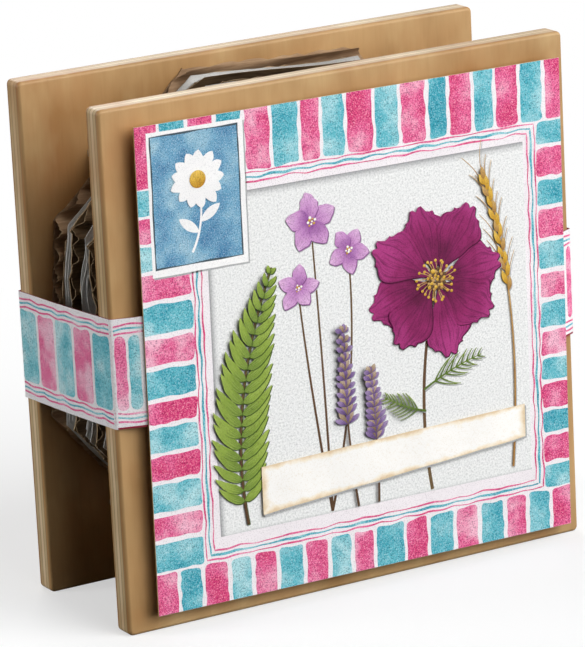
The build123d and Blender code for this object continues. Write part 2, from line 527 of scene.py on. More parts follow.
class Ripple:
    """A smooth seeded unevenness over the stack, slower along the stiff flutes than up the sides."""

    def __init__(self, maker, slow=0.05, fast=0.19):
        self.waves = []
        for _ in range(4):
            turn = maker.uniform(0, tau)
            rate = maker.uniform(slow, fast)
            size = maker.uniform(-1, 1)
            along = rate * cos(turn) * flute_stiffness
            self.waves.append((size, along, rate * sin(turn), maker.uniform(0, tau)))

    def __call__(self, x, z):
        return sum(size * np.sin(x * along + z * up + phase) for size, along, up, phase in self.waves)


layer_order, layer_turns = stacking_order()
ripple_maker = Random(11)
gap_ripples = [Ripple(ripple_maker) for _ in layer_order[1:]]
flare_ripples = {name: Ripple(ripple_maker, 0.12, 0.4) for name in layer_order if "corrugated" in name}


def turned(name, x, z):
    """A grid turned about the middle as far as its sheet lies askew, with its top edge cut more level."""
    turn = layer_turns[name]
    near_top = np.clip((z / half_height - level_start) / (1 - level_start), 0, 1)
    rise = level_share * near_top * (x + corner_reach - half_height) * sin(turn)
    return x * cos(turn) + z * sin(turn), z * cos(turn) - x * sin(turn) + rise


def layer_depth(name, x, z):
    """How thick a layer is at a place: corrugated sheets spring open unevenly towards the rim."""
    if name not in flare_ripples:
        return np.full_like(x, leaf_thickness)
    rim = np.clip((np.hypot(x, z) / half_width - flare_start) / (1 - flare_start), 0, 1)
    share = np.clip(flare_mean + flare_swing * flare_ripples[name](x, z), 0, 1)
    return corrugated_thickness + flare_height * rim ** 2 * share


def layer_fronts(x, z):
    """Where each layer's front lies along Y: towards the rim, leaves part and fall back from sheets."""
    rim = np.clip(np.hypot(x, z) / half_width - parting_start, 0, 1)
    parting = parting_least + parting_growth * rim
    falls = [fall_back if name in flare_ripples else 0.0 for name in layer_order[:-1]]
    weights = np.array([np.exp(parting * (fall + ripple(x, z))) for fall, ripple in zip(falls, gap_ripples)])
    depths = np.array([layer_depth(name, x, z) for name in layer_order])
    gaps = (gap_width - depths.sum(axis=0)) * weights / weights.sum(axis=0)
    steps = np.cumsum(depths[:-1] + gaps, axis=0)
    return stack_front + np.concatenate([np.zeros_like(x)[None], steps])


def octagon_grid(inset, ragged, maker, corner_cut=0.0, top_cut=0.0, spokes=180, rings=11):
    """A polar grid over an octagon, rows around and columns outward, with a ragged rim."""
    width = half_width - inset
    height = half_height - inset - top_cut
    reach = corner_reach - sqrt(2) * (inset + corner_cut)
    corners = [atan2(reach - width, width), atan2(height, reach - height)]
    marks = [(a * sign + turn) % tau for a in corners for sign in (1, -1) for turn in (0, pi)]
    angles = np.sort(np.concatenate([np.linspace(0, tau, spokes, endpoint=False), marks]))
    c = np.maximum(np.abs(np.cos(angles)), 1e-9)
    s = np.maximum(np.abs(np.sin(angles)), 1e-9)
    radius = np.minimum(np.minimum(width / c, height / s), reach / (c + s))
    radius = radius - np.array([maker.uniform(0, ragged) for _ in angles])
    radius = radius[:, None] * np.linspace(0.01, 1.0, rings) ** 0.8
    return radius * np.cos(angles)[:, None], radius * np.sin(angles)[:, None]


def add_sheet(builder, x, z, layer, behind, thickness, shift, **shell):
    """Adds a thin sheet that lies a distance behind its layer's front and is moved by its slip."""
    y = layer_fronts(x, z)[layer] + behind
    front = np.stack([x + shift[0], y, z + middle_height + shift[1]], axis=-1)
    builder.shell(front, front + (0, thickness, 0), **shell)


def squash(piece):
    """Gives a piece of the stack its own copy of its mesh."""
    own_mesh(piece)


def blotting_bundle(number):
    """Loose leaves that bow and part towards their edges."""
    name = f"blotting_paper_{number}"
    builder = Builder()
    first = layer_order.index(name)
    maker = Random(number)
    for order in range(leaves_per_bundle):
        turn = (number * leaves_per_bundle + order) * GOLDEN_ANGLE
        shift = leaf_slip[0] + leaf_stagger * cos(turn), leaf_slip[1] + leaf_stagger * sin(turn)
        x, z = turned(name, *octagon_grid(leaf_inset + maker.uniform(0, leaf_trim), leaf_ragged, maker))
        add_sheet(builder, x, z, first + order, 0.0, leaf_thickness, shift, loop=True)
    squash(builder.piece(f"blotting_leaves_{number}", "front_frame", "blotting_paper", [blotting], [name]))


def corrugated_sheet(number):
    """A wavy medium with uneven flutes, its front liner cut back from their ends and its back liner not."""
    name = f"corrugated_sheet_{number}"
    builder = Builder()
    low, high = span(name)
    shift = (low[0] + high[0]) / 2, (low[2] + high[2]) / 2 - middle_height
    layer = layer_order.index(name)
    is_rear = number == corrugated_count
    top_cut = 0.0 if is_rear else back_liner_top_cut
    for is_back, cuts in enumerate(((liner_inset, liner_corner_cut, 0.0), (back_liner_inset, 0.0, top_cut))):
        maker = Random(number * 2 + is_back)
        x, z = turned(name, *octagon_grid(cuts[0], liner_ragged, maker, *cuts[1:]))
        behind = is_back * (layer_depth(name, x, z) - liner_thickness)
        add_sheet(builder, x, z, layer, behind, liner_thickness, shift, loop=True, slots=face_and_cut)
    x, z, behind = fluted_medium(number, name)
    add_sheet(builder, x, z, layer, behind, medium_thickness, shift, slots=face_and_cut)
    # The rear sheet takes the paler, lit copy of the kraft and the others the darker, shaded copy: painted
    # light and shade.
    looks = [lit_kraft if is_rear else painted_shade_kraft, kraft_cut]
    squash(builder.piece(f"corrugated_card_{number}", "front_frame", "corrugated_card", looks, [name]))


def fluted_medium(number, name, rows=300, cols=25):
    """A sheet's wavy medium, its flutes along X with ragged ends, and how far it lies behind the front."""
    maker = Random(number)
    top = half_height - medium_inset
    heights = np.linspace(-top, top, rows)
    reach = np.minimum(half_width, corner_reach - np.abs(heights)) - medium_inset
    reach = reach - np.array([maker.uniform(0, medium_ragged) for _ in heights])
    x = reach[:, None] * np.linspace(-1, 1, cols)
    z = np.repeat(heights[:, None], cols, axis=1)
    slip = wobble(maker, 1.1, 50.0, z) + wobble(maker, 0.5, 16.0, z) + wobble(maker, 0.6, 120.0, x)
    wave = np.sin((z + slip) * tau / flute_pitch)
    x, z = turned(name, x, z)
    room = layer_depth(name, x, z) - 2 * liner_thickness - medium_thickness - 2 * medium_gap
    return x, z, liner_thickness + medium_gap + room * (0.5 + 0.5 * wave)


for number in range(1, (corrugated_count - 1) * bundles_between + 1):
    blotting_bundle(number)
for number in range(1, corrugated_count + 1):
    corrugated_sheet(number)


# Coach bolts with a rolled thread

head_height = 3.4
head_rim = 0.8
head_radius = (washer_high[0] - washer_low[0]) / 2 - 1.0
crown_rings = 9
neck_half = 3.15
neck_depth = 4.0
thread_length = 34.0
thread_pitch = 1.0
thread_depth = 0.55
thread_slope = 2.2
thread_runout = 2.0
rings_per_turn = 6
tail_chamfer = 0.8
bolt_sides = 32
bolt_angles = np.arange(bolt_sides) / bolt_sides * tau


def bolt_profile(start, end):
    """Rings of a bolt from the crown of its head to its tail: where along it, and the radius round it."""
    for share in np.linspace(0.01, 1.0, crown_rings) * pi / 2:
        yield start + (head_height - head_rim) * (1 - cos(share)), head_radius * sin(share)
    shoulder = start + head_height
    yield shoulder, head_radius
    square = neck_half / np.maximum(np.abs(np.cos(bolt_angles)), np.abs(np.sin(bolt_angles)))
    yield shoulder, square
    yield shoulder + neck_depth, square
    yield shoulder + neck_depth, bolt_radius
    for along in np.linspace(0, thread_length, int(thread_length / thread_pitch * rings_per_turn)):
        phase = (along / thread_pitch - bolt_angles / tau) % 1.0
        groove = np.minimum(1.0, thread_slope * np.minimum(phase, 1 - phase))
        groove = groove * min(1.0, along / thread_runout)
        taper = max(0.0, along - thread_length + tail_chamfer)
        yield end - thread_length + along, bolt_radius - np.maximum(thread_depth * groove, taper)


def coach_bolt(place):
    """A domed head, a square neck and a shank whose tail carries the thread."""
    name = f"coach_bolt_{place}"
    low, high = span(name)
    x, _, z = (low + high) / 2
    rings = []
    for y, radius in bolt_profile(low[1], high[1]):
        radius = np.broadcast_to(radius, bolt_angles.shape)
        ring = [x + radius * np.cos(bolt_angles), np.full(bolt_sides, y), z + radius * np.sin(bolt_angles)]
        rings.append(np.stack(ring, axis=-1))
    builder = Builder()
    builder.bar(np.array(rings))
    builder.piece(f"threaded_bolt_{place}", "front_frame", "zinc_steel", [zinc_plate], [name])


for place in PLACES:
    coach_bolt(place)


# Belly band, folded round both boards and out to the card in front

band_thickness = 0.42
band_solid_thickness = 0.5
band_height = 37.6
band_tuck = 1.0
fold_radius = 0.7
fold_steps = 7
side_bow = 0.35
card_width = 165.0
card_height = 167.0
card_middle = (card_low + card_high) / 2
card_turn = radians(0.5)
band_drop = band_high[2] - band_low[2] - band_height
band_bottom = band_high[2] - band_height
band_side = band_high[0] - band_solid_thickness
band_seat = band_low[1] + band_solid_thickness
band_back = band_high[1] - band_solid_thickness
band_front = front_low[1] - (band_back - back_high[1])


def band_path():
    """The band's inner line from above, with round folds: length along it, places and outward directions."""
    left = card_middle[0] - card_width / 2 + band_tuck
    right = card_middle[0] + card_width / 2 - band_tuck
    corners = np.array([
        (-band_side, band_front), (left, band_seat), (right, band_seat),
        (band_side, band_front), (band_side, band_back), (-band_side, band_back),
    ])
    runs = np.roll(corners, -1, axis=0) - corners
    runs = runs / np.hypot(*runs.T)[:, None]
    outward = np.stack([runs[:, 1], -runs[:, 0]], axis=1)
    points = []
    for index, corner in enumerate(corners):
        first = atan2(*outward[index - 1][::-1])
        turn = (atan2(*outward[index][::-1]) - first) % tau
        tangent = fold_radius * tan(turn / 2)
        centre = corner - runs[index - 1] * tangent - outward[index - 1] * fold_radius
        for step in np.linspace(0, 1, fold_steps):
            facing = np.array([cos(first + turn * step), sin(first + turn * step)])
            points.append(np.concatenate([centre + facing * fold_radius, facing]))
    points = np.array(points + points[:1])
    steps = np.hypot(*np.diff(points[:, :2], axis=0).T)
    return np.concatenate([[0], np.cumsum(steps)]), points


band_length, band_points = band_path()
band_round = band_length[-1]
fold_middles = band_length[fold_steps // 2::fold_steps]
fold_start = fold_middles[0]
side_length = band_back - band_front
front_length = fold_middles[3] - fold_start


def place_band(s, t, h):
    """A point on the band: s round it from the left front fold, t up from its lower edge, h out."""
    along = (s + fold_start) % band_round
    x, y, nx, ny = (np.interp(along, band_length, band_points[:, i]) for i in range(4))
    share = np.clip((y - band_front) / side_length, 0, 1)
    out = band_thickness + h + side_bow * (np.abs(nx) > 0.99) * np.sin(share * pi) ** 2
    return np.stack([x + nx * out, y + ny * out, band_bottom - band_drop * share + t], axis=-1)


def belly_band(rows=160, cols=5):
    """The paper band with its plain red reverse."""
    stops = np.concatenate([band_length, np.linspace(0, band_round, rows)]) - fold_start
    s = np.unique(np.round(stops, 4))[:-1]
    s, t = np.meshgrid(s, np.linspace(0, band_height, cols), indexing="ij")
    builder = Builder()
    inside = place_band(s, t, -band_thickness)
    builder.shell(place_band(s, t, 0.0), inside, loop=True, slots=(0, 1, 1))
    builder.piece("paper_band", "sleeve", "printed_band", [band_paper, red_paper], ["belly_band"])


belly_band()


# Print on the card and the band: thin films of ink

film_height = 0.016
film_step = 0.022
film_lift = 0.005
map_cell = 0.5
stroke_wave = 9.0
end_waver = 0.25
end_wave = 14.0
edge_wave = 15.0


def resample(lines, count):
    """Rows of numbers resampled to a count, and turned into columns."""
    return np.array([np.interp(np.linspace(0, len(n) - 1, count), range(len(n)), n) for n in lines]).T


class Print:
    """Films of ink laid on the card or the band, collected by colour, each above the films that it covers."""

    def __init__(self, place):
        self.place = place
        self.colours = {}
        cells = int(2 * card_width / map_cell)
        self.levels = np.zeros((cells, cells), int)

    def film(self, colour, u, v, tone=0.5, loop=False, level=None):
        """A film over a grid of places on the paper, at a level or on top of what lies there."""
        builder = self.colours.setdefault(colour, Builder())
        low = film_lift + film_step * (self.next_level(u, v) if level is None else level)
        builder.shell(self.place(u, v, low + film_height), self.place(u, v, low), tone, loop)

    def next_level(self, u, v):
        """The first level above every film under a grid, which is then taken."""
        count = int(2 * max(np.ptp(u), np.ptp(v)) / map_cell) + 3
        fine = [resample(resample(grid, count), count) for grid in (u, v)]
        cells = tuple(np.round(grid / map_cell).astype(int) + len(self.levels) // 2 for grid in fine)
        level = self.levels[cells].max() + 1
        self.levels[cells] = level
        return level

    def pieces(self, prefix, slot_name, looks):
        """One piece for each colour."""
        for colour, builder in self.colours.items():
            builder.piece(f"{prefix}_{colour}", "sleeve", slot_name, [looks[colour]])


def stroke(maker, width, length, round_start, round_end, waver=0.16, cols=5, rows=22):
    """A hand-painted bar: places across it and along it, with wandering sides and rounded ends."""
    along = length * (0.5 - 0.5 * np.cos(np.linspace(0, pi, rows)))
    left = -width / 2 + wobble(maker, waver, stroke_wave, along)
    right = width / 2 + wobble(maker, waver, stroke_wave, along)
    for radius, distance in ((round_start, along), (round_end, length - along)):
        near = np.clip(radius - distance, 0, radius)
        end = radius - np.sqrt(radius * radius - near * near)
        left = left + end
        right = right - end
    share = np.linspace(0, 1, cols)[None, :]
    across = left[:, None] * (1 - share) + right[:, None] * share
    bulge = wobble(maker, end_waver, end_wave, across) * (along / length)[:, None] * (round_end > 0)
    return across, np.repeat(along[:, None], cols, axis=1) + bulge


def rectangle(left, right, bottom, top, waver=0.0, seed=0, cells=13):
    """A grid over a rectangle, with slightly uneven edges."""
    maker = Random(seed)
    u, v = np.meshgrid(np.linspace(left, right, cells), np.linspace(bottom, top, cells))
    return u + wobble(maker, waver, edge_wave, v), v + wobble(maker, waver, edge_wave, u)


def place_card(u, v, h):
    """A point on the card: u to the right and v up from its middle, h out from its face."""
    x = card_middle[0] + u * cos(card_turn) + v * sin(card_turn)
    z = card_middle[2] - u * sin(card_turn) + v * cos(card_turn)
    return np.stack([x, np.full_like(x, card_low[1] - h), z], axis=-1)


card_print = Print(place_card)
band_print = Print(place_band)
film = card_print.film


# Border of the card

bar_left, bar_right, bar_bottom, bar_top = -64.2, 72.3, -69.3, 62.8
line_left, line_right, line_bottom, line_top = -63.2, 71.4, -67.8, 61.9
panel_box = (-57.6, 66.8, -60.6, 56.4)
top_pitch = 9.7
side_bar_pitch = 10.3
bar_gap = 1.4
bar_round = 1.2
edge_margin = 0.03
half_u = card_width / 2 - edge_margin
half_v = card_height / 2 - edge_margin
frame_lines = (("pink", 0.6), ("teal", 0.85), ("pink", 0.6))
frame_spacing = 1.5
frame_step = 0.9
frame_waver = 0.14
frame_scallop = 0.3
frame_ease = 4.0
painter = Random(5)


def bar_row(first, last, pitch):
    """Middles and widths of bars along an edge, each a little different."""
    shares = np.array([painter.uniform(0.85, 1.15) for _ in range(round((last - first) / pitch))])
    widths = shares * (last - first) / shares.sum()
    ends = first + np.cumsum(widths)
    for index, (end, width) in enumerate(zip(ends, widths)):
        yield index, end - width / 2, width - bar_gap * painter.uniform(0.75, 1.3)


def edge_bars(edge, inner, row, colours, upright):
    """Bars from an edge of the card inward, upright or level."""
    for index, middle, width in bar_row(*row):
        across, along = stroke(painter, width, abs(edge - inner), 0, bar_round)
        place = np.clip(middle + across, -half_u, half_u), edge - np.sign(edge) * along
        u, v = place if upright else place[::-1]
        film(colours[index % 2], u, v, painter.random(), level=0)


def card_bars():
    """Upright bars along the top and bottom, taking the corners, and level bars down the sides."""
    whole_width = -half_u - bar_gap, half_u + bar_gap, top_pitch
    for edge, inner in ((half_v, bar_top), (-half_v, bar_bottom)):
        edge_bars(edge, inner, whole_width, ("pink", "teal"), True)
    for edge, inner in ((-half_u, bar_left), (half_u, bar_right)):
        edge_bars(edge, inner, (bar_bottom, bar_top, side_bar_pitch), ("teal", "pink"), False)


def frame_side(start, end, maker):
    """Places along one side of the frame line, wavering and scalloped, and its inward direction."""
    run = end - start
    length = np.hypot(*run)
    inward = np.array([-run[1], run[0]]) / length
    steps = np.linspace(0, 1, int(length / frame_step), endpoint=False)
    along = steps * length
    scallop = frame_scallop * np.abs(np.sin(along / top_pitch * pi))
    offset = wobble(maker, frame_waver, edge_wave, along) - scallop
    offset = offset * np.clip(np.minimum(along, length - along) / frame_ease, 0, 1)
    places = start + run * steps[:, None] + inward * offset[:, None]
    return places, np.repeat(inward[None, :], len(steps), axis=0)


def frame_line(colour, inset, width, seed):
    """A wavering line round the panel."""
    maker = Random(seed)
    left, right = line_left + inset, line_right - inset
    bottom, top = line_bottom + inset, line_top - inset
    corners = np.array([(left, bottom), (right, bottom), (right, top), (left, top)])
    sides = [frame_side(corners[i - 1], corners[i], maker) for i in range(4)]
    places, inward = (np.concatenate(parts) for parts in zip(*sides))
    half = width * (0.85 + 0.3 * np.sin(np.arange(len(places)) * 0.21 + seed))[:, None] / 2
    grid = np.stack([places - inward * half, places + inward * half], axis=1)
    film(colour, grid[..., 0], grid[..., 1], tone=0.2, loop=True, level=1)


card_bars()
for order, (colour, width) in enumerate(frame_lines):
    frame_line(colour, order * frame_spacing, width, 20 + order)
film("panel", *rectangle(*panel_box), level=0)


# Print on the band

side_pitch = 14.3
stub_pitch = 6.0
stub_start = 0.3
stub_end = 9.6
right_stub = 4.0
band_bar_height = 25.2
band_bar_rounds = (1.8, 1.8)
band_waver = 0.08
band_bar_gap = 1.5
stub_bar_gap = 0.8
band_line_width = 0.65
band_lines = ((2.6, "pink"), (4.0, "teal"), (5.5, "pink"))
red_edge_height = 0.6
red_edge_start = 0.4
left_red_end = 10.4
right_red_reach = 10.0


def band_bars():
    """Barrel bars round the band, narrow near the front folds and broad on the sides and back."""
    maker = Random(8)
    back_start = front_length + side_length
    stretches = [
        (stub_start, stub_end, stub_pitch),
        (front_length - right_stub, front_length, stub_pitch),
        (front_length, back_start, side_pitch),
        (back_start, back_start + 2 * band_side, side_pitch),
        (-side_length, 0.0, side_pitch),
    ]
    for start, end, pitch in stretches:
        count = max(1, round((end - start) / pitch))
        width = (end - start) / count
        bar_width = width - (band_bar_gap if pitch == side_pitch else stub_bar_gap)
        for step in range(count):
            across, along = stroke(maker, bar_width, band_bar_height, *band_bar_rounds, band_waver, cols=9)
            s = start + (step + 0.5) * width + across
            t = (band_height - band_bar_height) / 2 + along
            colour = ("pink", "teal")[(step + (start < 0)) % 2]
            band_print.film(colour, s, t, maker.uniform(0.4, 1.3), level=0)


def band_line(colour, height, seed):
    """A line all round the band, scalloped between the bars."""
    s = np.linspace(0, band_round, 700, endpoint=False)
    scallop = 0.6 * np.abs(np.sin(s / side_pitch * pi)) + 0.12 * np.sin(s * 0.7 + seed)
    t = height + scallop * np.sign(height - band_height / 2)
    half = band_line_width / 2
    grid = np.stack([t - half, t + half], axis=1)
    band_print.film(colour, np.stack([s, s], axis=1), grid, tone=0.25, loop=True, level=0)


band_bars()
for height, colour in band_lines:
    band_line(colour, height, height)
    band_line(colour, band_height - height, height + 1)
right_red = (front_length - right_red_reach, front_length - red_edge_start)
for start, end in ((red_edge_start, left_red_end), right_red):
    band_print.film("red", *rectangle(start, end, 0.0, red_edge_height), level=0)
band_looks = {
    "pink": ink("band_pink_ink", (224, 78, 134), (234, 112, 160), (246, 192, 212)),
    "teal": ink("band_teal_ink", (78, 176, 192), (122, 200, 211), (188, 227, 231)),
    "red": red_paper,
}
band_print.pieces("band_print", "printed_band", band_looks)


# Pressed flowers on the card

shadow_shift = (0.55, -0.65)
under_shift = (0.3, -0.35)


def cast(u, v):
    """The printed shadow of a film."""
    film("shade", u + shadow_shift[0], v + shadow_shift[1])


def lay(films, under=None):
    """Prints a motif: every film's shadow, then the films in order, each on a dark edge if asked."""
    for _, grid, _ in films:
        cast(*grid)
    for colour, (u, v), tone in films:
        if under:
            film(under, u + under_shift[0], v + under_shift[1], tone)
        film(colour, u, v, tone)


def curve(points, share):
    """Places along a curve from its start, past a pull point, to its end."""
    start, pull, end = (np.array(p, float) for p in points)
    share = np.asarray(share, float)[..., None]
    return start * (1 - share) ** 2 + 2 * pull * share * (1 - share) + end * share ** 2


def heading(points, share):
    """The direction of the curve at a place along it."""
    run = curve(points, share + 0.01) - curve(points, share - 0.01)
    return atan2(run[1], run[0])


def stem(points, start_width, end_width, rows=26):
    """A tapering ribbon along a curve."""
    share = np.linspace(0, 1, rows)
    line = curve(points, share)
    run = np.gradient(line, axis=0)
    normal = np.stack([-run[:, 1], run[:, 0]], axis=1) / np.hypot(*run.T)[:, None]
    half = normal * np.interp(share, (0, 1), (start_width, end_width))[:, None] / 2
    grid = np.stack([line - half, line + half], axis=1)
    return grid[..., 0], grid[..., 1]


def petal(root, angle, length, width, fullness, maker=None, bend=0.0, notch=0.0, rows=18, cols=11):
    """A petal or leaf from its root: widest at its fullness, with a broad toothed tip if notched."""
    b = np.linspace(0, 1, rows)[:, None]
    a = np.linspace(-1, 1, cols)[None, :]
    swell = np.sin(pi * b ** (log(0.5) / log(fullness))) ** 0.75
    if notch:
        swell = np.where(b > fullness, np.maximum(swell, 0.62), swell)
    side = a * np.maximum(swell, 0.03) * width / 2
    if maker:
        side = side + wobble(maker, width * 0.02, length * 0.4, b * length) * np.abs(a)
    teeth = notch * ((0.5 + 0.5 * np.cos(a * pi * 3)) * b ** 5 + 2 * a ** 2 * b ** 3)
    along = b * length * (1 - teeth)
    turn = angle + bend * b
    u = root[0] + along * np.cos(turn) - side * np.sin(turn)
    v = root[1] + along * np.sin(turn) + side * np.cos(turn)
    return u, v


def disc(middle, radius, cells=5):
    """A round spot."""
    a, b = np.meshgrid(np.linspace(-1, 1, cells), np.linspace(-1, 1, cells))
    u = a * np.sqrt(1 - b * b / 2) * radius
    v = b * np.sqrt(1 - a * a / 2) * radius
    return middle[0] + u, middle[1] + v


def away(middle, angle, reach):
    """A place at a distance from another."""
    return middle[0] + reach * cos(angle), middle[1] + reach * sin(angle)


def around(steps, count, maker, spread, start=0.0):
    """Angles of steps round a circle, each a little off."""
    for step in steps:
        yield start + step / count * tau + maker.uniform(-spread, spread)


def seeds(middle, count, reach, size, colours, maker):
    """A spiral of small spots."""
    for index in range(count):
        spot = away(middle, index * GOLDEN_ANGLE, reach * sqrt((index + 0.5) / count))
        grid = disc(spot, size * maker.uniform(0.7, 1.2))
        film(colours[index % len(colours)], *grid, maker.random())


def cosmos(middle, radius, tilt, seed, petals=8, stamens=26):
    """A flat open flower with broad toothed petals, and stamens round a yellow eye."""
    maker = Random(seed)
    films = []
    for angle in around([*range(0, petals, 2), *range(1, petals, 2)], petals, maker, 0.07, tilt):
        size = radius * maker.uniform(0.93, 1.05)
        bend = maker.uniform(-0.1, 0.1)
        root = away(middle, angle, radius * 0.05)
        grid = petal(root, angle, size, radius * 0.68, 0.68, maker, bend, 0.08)
        films.append(("magenta", grid, maker.random()))
    lay(films, "wine")
    for angle in around(range(stamens), stamens, maker, 0.1):
        tip = away(middle, angle + 0.1, radius * maker.uniform(0.2, 0.3))
        line = [away(middle, angle, radius * 0.1), away(middle, angle, radius * 0.2), tip]
        film("straw", *stem(line, 0.35, 0.25, 6))
        film("gold", *disc(tip, radius * 0.02))
    seeds(middle, 34, radius * 0.14, radius * 0.026, ("gold", "straw", "bark"), maker)


def thread_leaf(root, angle, length, seed):
    """A sprig of thread-like leaves."""
    maker = Random(seed)
    rib = [root, away(root, angle + 0.15, length * 0.5), away(root, angle, length)]
    films = [("green", stem(rib, 0.8, 0.3), 0.4)]
    for share in np.linspace(0.2, 0.94, 9):
        at = curve(rib, share)
        for side in (-1, 1):
            turn = angle + side * maker.uniform(0.5, 0.8)
            reach = length * 0.36 * (1.12 - share) + 1.5
            line = [at, away(at, turn + side * 0.2, reach * 0.6), away(at, turn, reach)]
            films.append(("green", stem(line, 0.6, 0.25, 8), maker.random()))
    lay(films)


def fern(line, reach, seed):
    """A frond with paired leaflets that shorten towards its tip."""
    maker = Random(seed)
    films = [("bark", stem(line, 1.0, 0.4), 0.5)]
    for share in np.linspace(0.1, 0.98, 21):
        root = curve(line, share)
        length = reach * sin(pi * (0.16 + 0.84 * share)) ** 0.8 + 1.6
        width = length * 0.17 + 1.1
        for side in (-1, 1):
            turn = heading(line, share) + side * (1.3 - 0.45 * share) + maker.uniform(-0.06, 0.06)
            grid = petal(root, turn, length, width, 0.36, maker, -side * 0.3, rows=12, cols=5)
            films.append(("leaf", grid, maker.random()))
    lay(films, "moss")


def bellflower(middle, radius, tilt, seed, petals=5):
    """A small flower with pointed petals and a cream eye."""
    maker = Random(seed)
    films = []
    for angle in around(range(petals), petals, maker, 0.1, tilt):
        grid = petal(middle, angle, radius * maker.uniform(0.9, 1.08), radius * 0.66, 0.5, maker, 0.1)
        films.append(("lilac", grid, maker.random()))
    lay(films, "plum")
    seeds(middle, 9, radius * 0.16, radius * 0.045, ("cream", "gold"), maker)


def spike(line, seed):
    """A lavender spike: whorls of small violet florets along the top of its stem."""
    maker = Random(seed)
    films = [("bark", stem(line, 0.9, 0.5), 0.5)]
    for share in np.linspace(0.52, 1.0, 11):
        for floret in range(5):
            turn = heading(line, share) + (floret - 2) * 0.5 + maker.uniform(-0.15, 0.15)
            length = maker.uniform(3.8, 5.4) * (1.7 - share)
            grid = petal(curve(line, share), turn, length, 1.8, 0.6, maker, rows=8, cols=5)
            films.append((("violet", "dusk")[floret % 2], grid, maker.random()))
    lay(films)


def grass(line, seed):
    """A golden ear of grass with long awns."""
    maker = Random(seed)
    films = [("straw", stem(line, 0.8, 0.4), 0.5)]
    for index, share in enumerate(np.linspace(0.56, 1.0, 19)):
        side = (-1, 1)[index % 2]
        root = curve(line, share)
        turn = heading(line, share) + side * maker.uniform(0.25, 0.5)
        length = maker.uniform(4.6, 6.2)
        tip = away(root, turn - side * 0.15, length * 0.9)
        awn = [tip, away(tip, turn - side * 0.2, 4.0), away(tip, turn, maker.uniform(7, 10))]
        films.append(("straw", stem(awn, 0.3, 0.2, 8), 0.6))
        grain = petal(root, turn, length, 1.9, 0.45, maker, -side * 0.2, rows=10, cols=5)
        films.append((("straw", "gold")[index % 3 > 0], grain, 0.5))
    lay(films)


label_left, label_right, label_bottom, label_top = -77.2, -44.0, 34.8, 79.6
label_line = 0.5
paint_waver = 0.1
daisy_petals = 13
strip_left, strip_right = -41.4, 64.0
strip_low, strip_low_rise = -55.8, 7.8
strip_high, strip_high_rise = -39.0, 2.8


def label():
    """A blue painted label on a white mount, outlined by hand, with a plain daisy."""
    mount = rectangle(label_left - 1.1, label_right + 1.8, label_bottom - 2.5, label_top + 1.3, 0.05, 3)
    cast(*mount)
    film("white", *mount)
    for colour, inset, seed in (("slate", 0.0, 4), ("blue", label_line, 5)):
        sides = label_left + inset, label_right - inset, label_bottom + inset, label_top - inset
        film(colour, *rectangle(*sides, paint_waver, seed))
    middle = ((label_left + label_right) / 2 + 0.5, label_top - 16.5)
    stalk = [(middle[0] - 3, label_bottom + 4), (middle[0] + 3, label_bottom + 14), middle]
    film("white", *stem(stalk, 0.9, 0.6))
    for share, turn in ((0.3, 2.5), (0.45, 0.6)):
        film("white", *petal(curve(stalk, share), turn, 9.0, 3.4, 0.5))
    maker = Random(9)
    for angle in around(range(daisy_petals), daisy_petals, maker, 0.06):
        film("white", *petal(middle, angle, maker.uniform(9.6, 10.8), 3.9, 0.68, maker))
    film("gold", *disc(middle, 3.0, 9))


def strip():
    """A blank strip of old cream paper across the foot of the panel."""
    u, up = rectangle(strip_left, strip_right, 0.0, 1.0)
    share = (u - strip_left) / (strip_right - strip_left)
    low = strip_low + strip_low_rise * share + wobble(Random(6), paint_waver, edge_wave, u)
    high = strip_high + strip_high_rise * share + wobble(Random(7), paint_waver, edge_wave, u)
    v = low + (high - low) * up
    cast(u, v)
    film("cream", u, v)


bell_foot = (-14.0, -60.0)
bells = (((-18.0, 42.0), 10.5, 0.3, 41), ((-4.0, 30.0), 8.5, 0.9, 42), ((-24.0, 20.0), 8.0, 0.1, 43))
cosmos_stalk = [(30.0, 12.0), (20.0, -24.0), (26.0, -60.0)]
fern([(-47.0, -58.0), (-54.0, -16.0), (-34.0, 29.0)], 13.0, 17)
for bell in bells:
    middle = bell[0]
    film("bark", *stem([bell_foot, (middle[0] + 3, -14.0), middle], 1.0, 0.6))
    bellflower(*bell)
spike([(-4.0, -60.0), (-8.0, -34.0), (-8.0, 2.0)], 51)
spike([(4.0, -60.0), (5.0, -40.0), (2.0, -14.0)], 52)
film("bark", *stem(cosmos_stalk, 1.1, 1.3))
thread_leaf(curve(cosmos_stalk, 0.5), 0.35, 25.0, 71)
thread_leaf(curve(cosmos_stalk, 0.6), 2.7, 18.0, 72)
grass([(59.0, -58.0), (65.0, 4.0), (50.0, 46.0)], 61)
cosmos((30.0, 14.0), 27.0, 0.2, 31)
strip()
label()

# Name, base, middle, tip and vein of each petal; name, colour, speck and amount of speckle of each paper
petal_colours = {
    "magenta": ("magenta_petal", (92, 18, 58), (142, 36, 96), (172, 58, 126), (84, 16, 60)),
    "lilac": ("lilac_petal", (150, 90, 158), (204, 150, 202), (226, 186, 222), (156, 92, 164)),
    "violet": ("violet_floret", (86, 64, 110), (124, 98, 150), (172, 150, 190), (66, 48, 84)),
    "dusk": ("dusk_floret", (120, 100, 70), (170, 146, 120), (214, 196, 170), (96, 76, 70)),
    "leaf": ("green_leaflet", (96, 124, 40), (130, 156, 56), (156, 178, 80), (172, 190, 106)),
    "green": ("green_thread", (90, 116, 44), (118, 142, 56), (140, 160, 70), (80, 100, 40)),
    "bark": ("brown_stem", (92, 66, 44), (104, 76, 50), (112, 90, 56), (60, 42, 30)),
    "gold": ("gold_grain", (190, 140, 40), (220, 176, 66), (236, 200, 100), (150, 104, 34)),
    "straw": ("straw_grain", (168, 124, 62), (196, 156, 92), (216, 182, 122), (126, 86, 44)),
}
